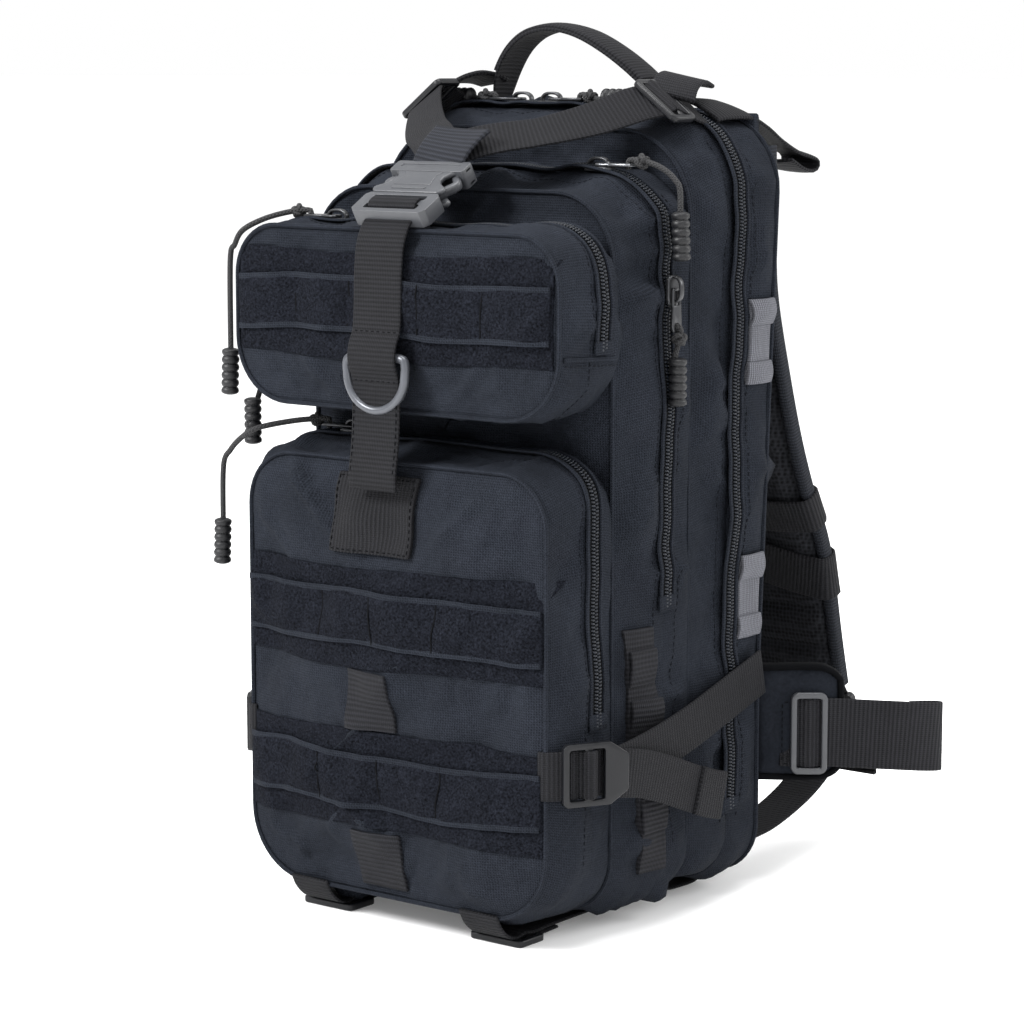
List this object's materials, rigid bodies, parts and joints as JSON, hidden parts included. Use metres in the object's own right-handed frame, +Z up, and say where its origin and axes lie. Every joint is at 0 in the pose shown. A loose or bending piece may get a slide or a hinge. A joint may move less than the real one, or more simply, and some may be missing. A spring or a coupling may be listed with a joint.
{
  "type": "trauma backpack",
  "caption": "Standing medical backpack with stacked zipped compartments, two front pockets with loop panels, buckled front strap, ladder locks, shoulder straps and hip wings.",
  "frame": {"origin": "middle of the footprint box, on the plane the pack stands on", "axes": "+Z up, the pockets face -Y, the harness is on the +Y side"},
  "size_m": [0.3476, 0.3368, 0.4662],
  "materials": {
    "shell_fabric": "matte woven canvas",
    "webbing": "ribbed woven webbing",
    "hook_loop": "soft loop pile",
    "air_mesh": "spacer mesh",
    "lining": "smooth lining cloth",
    "sheet": "smooth sheet",
    "zip_chain": "coil and tape",
    "hardware": "satin moulded nylon",
    "ring_metal": "satin",
    "slider_metal": "satin",
    "pull_cord": "matte grip with braided cord"
  },
  "bodies": {
    "pack": {"main_rear_shell": "shell_fabric", "main_front_shell": "shell_fabric", "middle_compartment": "shell_fabric", "upper_pocket": "shell_fabric", "lower_pocket": "shell_fabric", "back_pad": "air_mesh", "frame_sheet": "sheet", "hydration_sleeve": "lining", "inner_pockets": "lining", "main_zipper": "zip_chain", "middle_zipper": "zip_chain", "upper_zipper": "zip_chain", "lower_zipper": "zip_chain", "loop_fields": "hook_loop", "loop_strips": "hook_loop", "front_strap": "webbing", "front_webbing": "webbing", "buckle_female": "hardware", "yoke": "webbing", "yoke_slides": "hardware", "shoulder_webbing_left": "webbing", "shoulder_webbing_right": "webbing", "load_lifters": "webbing", "compression_strap_left": "webbing", "compression_strap_right": "webbing", "lock_anchors": "webbing", "bottom_straps": "webbing", "bottom_slides": "hardware", "side_webbing": "webbing"},
    "zip_main_left": {"slider_main_left": "slider_metal"},
    "zip_pull_main_left": {"pull_main_left": "pull_cord"},
    "zip_main_right": {"slider_main_right": "slider_metal"},
    "zip_pull_main_right": {"pull_main_right": "pull_cord"},
    "zip_middle_top": {"slider_middle_top": "slider_metal"},
    "zip_pull_middle_top": {"pull_middle_top": "pull_cord"},
    "zip_middle_side": {"slider_middle_side": "slider_metal"},
    "zip_pull_middle_side": {"pull_middle_side": "pull_cord"},
    "zip_upper_top": {"slider_upper_top": "slider_metal"},
    "zip_pull_upper_top": {"pull_upper_top": "pull_cord"},
    "zip_upper_side": {"slider_upper_side": "slider_metal"},
    "zip_pull_upper_side": {"pull_upper_side": "pull_cord"},
    "zip_lower_top": {"slider_lower_top": "slider_metal"},
    "zip_pull_lower_top": {"pull_lower_top": "pull_cord"},
    "zip_lower_side": {"slider_lower_side": "slider_metal"},
    "zip_pull_lower_side": {"pull_lower_side": "pull_cord"},
    "buckle_plug": {"buckle_male": "hardware"},
    "ring": {"d_ring": "ring_metal"},
    "handle": {"carry_handle": "webbing"},
    "lock_left": {"ladder_lock_left": "hardware"},
    "harness_left": {"shoulder_strap_left": "air_mesh", "strap_adjuster_left": "hardware"},
    "wing_left": {"hip_wing_left": "shell_fabric", "waist_webbing_left": "webbing", "waist_slide_left": "hardware"},
    "lock_right": {"ladder_lock_right": "hardware"},
    "harness_right": {"shoulder_strap_right": "air_mesh", "strap_adjuster_right": "hardware"},
    "wing_right": {"hip_wing_right": "shell_fabric", "waist_webbing_right": "webbing", "waist_slide_right": "hardware"}
  },
  "joints": [
    {"name": "buckle_release", "type": "slide", "parent": "pack", "child": "buckle_plug", "axis": [0, -0.866, -0.5], "range_m": [0, 0.03], "deforming": ["front_strap"]},
    {"name": "ring_swing", "type": "hinge", "parent": "pack", "child": "ring", "pos_m": [0, -0.1648, 0.299], "axis": [-1, 0, 0], "range_deg": [0, 120]},
    {"name": "handle_fold", "type": "hinge", "parent": "pack", "child": "handle", "pos_m": [0, 0.018, 0.422], "axis": [1, 0, 0], "range_deg": [-70, 30]},
    {"name": "lock_tilt_left", "type": "hinge", "parent": "pack", "child": "lock_left", "pos_m": [-0.1035, -0.1466, 0.095], "axis": [0, 0, 1], "range_deg": [0, 45], "deforming": ["compression_strap_left"]},
    {"name": "strap_swing_left", "type": "hinge", "parent": "pack", "child": "harness_left", "pos_m": [-0.066, 0.0444, 0.404], "axis": [1, 0, 0], "range_deg": [0, 15], "deforming": ["shoulder_webbing_left"]},
    {"name": "wing_fold_left", "type": "hinge", "parent": "pack", "child": "wing_left", "pos_m": [-0.104, 0.0444, 0.091], "axis": [0, 0, -1], "range_deg": [-50, 45]},
    {"name": "lock_tilt_right", "type": "hinge", "parent": "pack", "child": "lock_right", "pos_m": [0.1035, -0.1466, 0.095], "axis": [0, 0, -1], "range_deg": [0, 45], "deforming": ["compression_strap_right"]},
    {"name": "strap_swing_right", "type": "hinge", "parent": "pack", "child": "harness_right", "pos_m": [0.066, 0.0444, 0.404], "axis": [1, 0, 0], "range_deg": [0, 15], "deforming": ["shoulder_webbing_right"]},
    {"name": "wing_fold_right", "type": "hinge", "parent": "pack", "child": "wing_right", "pos_m": [0.104, 0.0444, 0.091], "axis": [0, 0, 1], "range_deg": [-50, 45]},
    {"name": "zip_run_main_left", "type": "slide", "parent": "pack", "child": "zip_main_left", "axis": [-1, 0, 0], "range_m": [0, 0.026]},
    {"name": "pull_lift_main_left", "type": "hinge", "parent": "zip_main_left", "child": "zip_pull_main_left", "pos_m": [-0.034, -0.0006, 0.4259], "axis": [0, 1, 0], "range_deg": [0, 90]},
    {"name": "zip_run_main_right", "type": "slide", "parent": "pack", "child": "zip_main_right", "axis": [1, 0, 0], "range_m": [0, 0.074]},
    {"name": "pull_lift_main_right", "type": "hinge", "parent": "zip_main_right", "child": "zip_pull_main_right", "pos_m": [-0.014, -0.0006, 0.4259], "axis": [0, -1, 0], "range_deg": [0, 90]},
    {"name": "zip_run_middle_top", "type": "slide", "parent": "pack", "child": "zip_middle_top", "axis": [-1, 0, 0], "range_m": [-0.004, 0.0025]},
    {"name": "pull_lift_middle_top", "type": "hinge", "parent": "zip_middle_top", "child": "zip_pull_middle_top", "pos_m": [0.062, -0.0606, 0.3939], "axis": [0, -1, 0], "range_deg": [0, 50]},
    {"name": "zip_run_middle_side", "type": "slide", "parent": "pack", "child": "zip_middle_side", "axis": [0, 0, -1], "range_m": [0, 0.12]},
    {"name": "pull_lift_middle_side", "type": "hinge", "parent": "zip_middle_side", "child": "zip_pull_middle_side", "pos_m": [0.1109, -0.0606, 0.332], "axis": [0, -1, 0], "range_deg": [0, 80]},
    {"name": "zip_run_upper_top", "type": "slide", "parent": "pack", "child": "zip_upper_top", "axis": [1, 0, 0], "range_m": [-0.018, 0.0025]},
    {"name": "pull_lift_upper_top", "type": "hinge", "parent": "zip_upper_top", "child": "zip_pull_upper_top", "pos_m": [-0.064, -0.1196, 0.3659], "axis": [0, 1, 0], "range_deg": [0, 120]},
    {"name": "zip_run_upper_side", "type": "slide", "parent": "pack", "child": "zip_upper_side", "axis": [0, 0, -1], "range_m": [0, 0.014]},
    {"name": "pull_lift_upper_side", "type": "hinge", "parent": "zip_upper_side", "child": "zip_pull_upper_side", "pos_m": [-0.1129, -0.1196, 0.318], "axis": [0, 1, 0], "range_deg": [0, 80]},
    {"name": "zip_run_lower_top", "type": "slide", "parent": "pack", "child": "zip_lower_top", "axis": [1, 0, 0], "range_m": [-0.012, 0]},
    {"name": "pull_lift_lower_top", "type": "hinge", "parent": "zip_lower_top", "child": "zip_pull_lower_top", "pos_m": [-0.0542, -0.1176, 0.2559], "axis": [0, 1, 0], "range_deg": [0, 8]},
    {"name": "zip_run_lower_side", "type": "slide", "parent": "pack", "child": "zip_lower_side", "axis": [0, 0, -1], "range_m": [0, 0.022]},
    {"name": "pull_lift_lower_side", "type": "hinge", "parent": "zip_lower_side", "child": "zip_pull_lower_side", "pos_m": [-0.1059, -0.1176, 0.196], "axis": [0, 1, 0], "range_deg": [0, 80]}
  ]
}
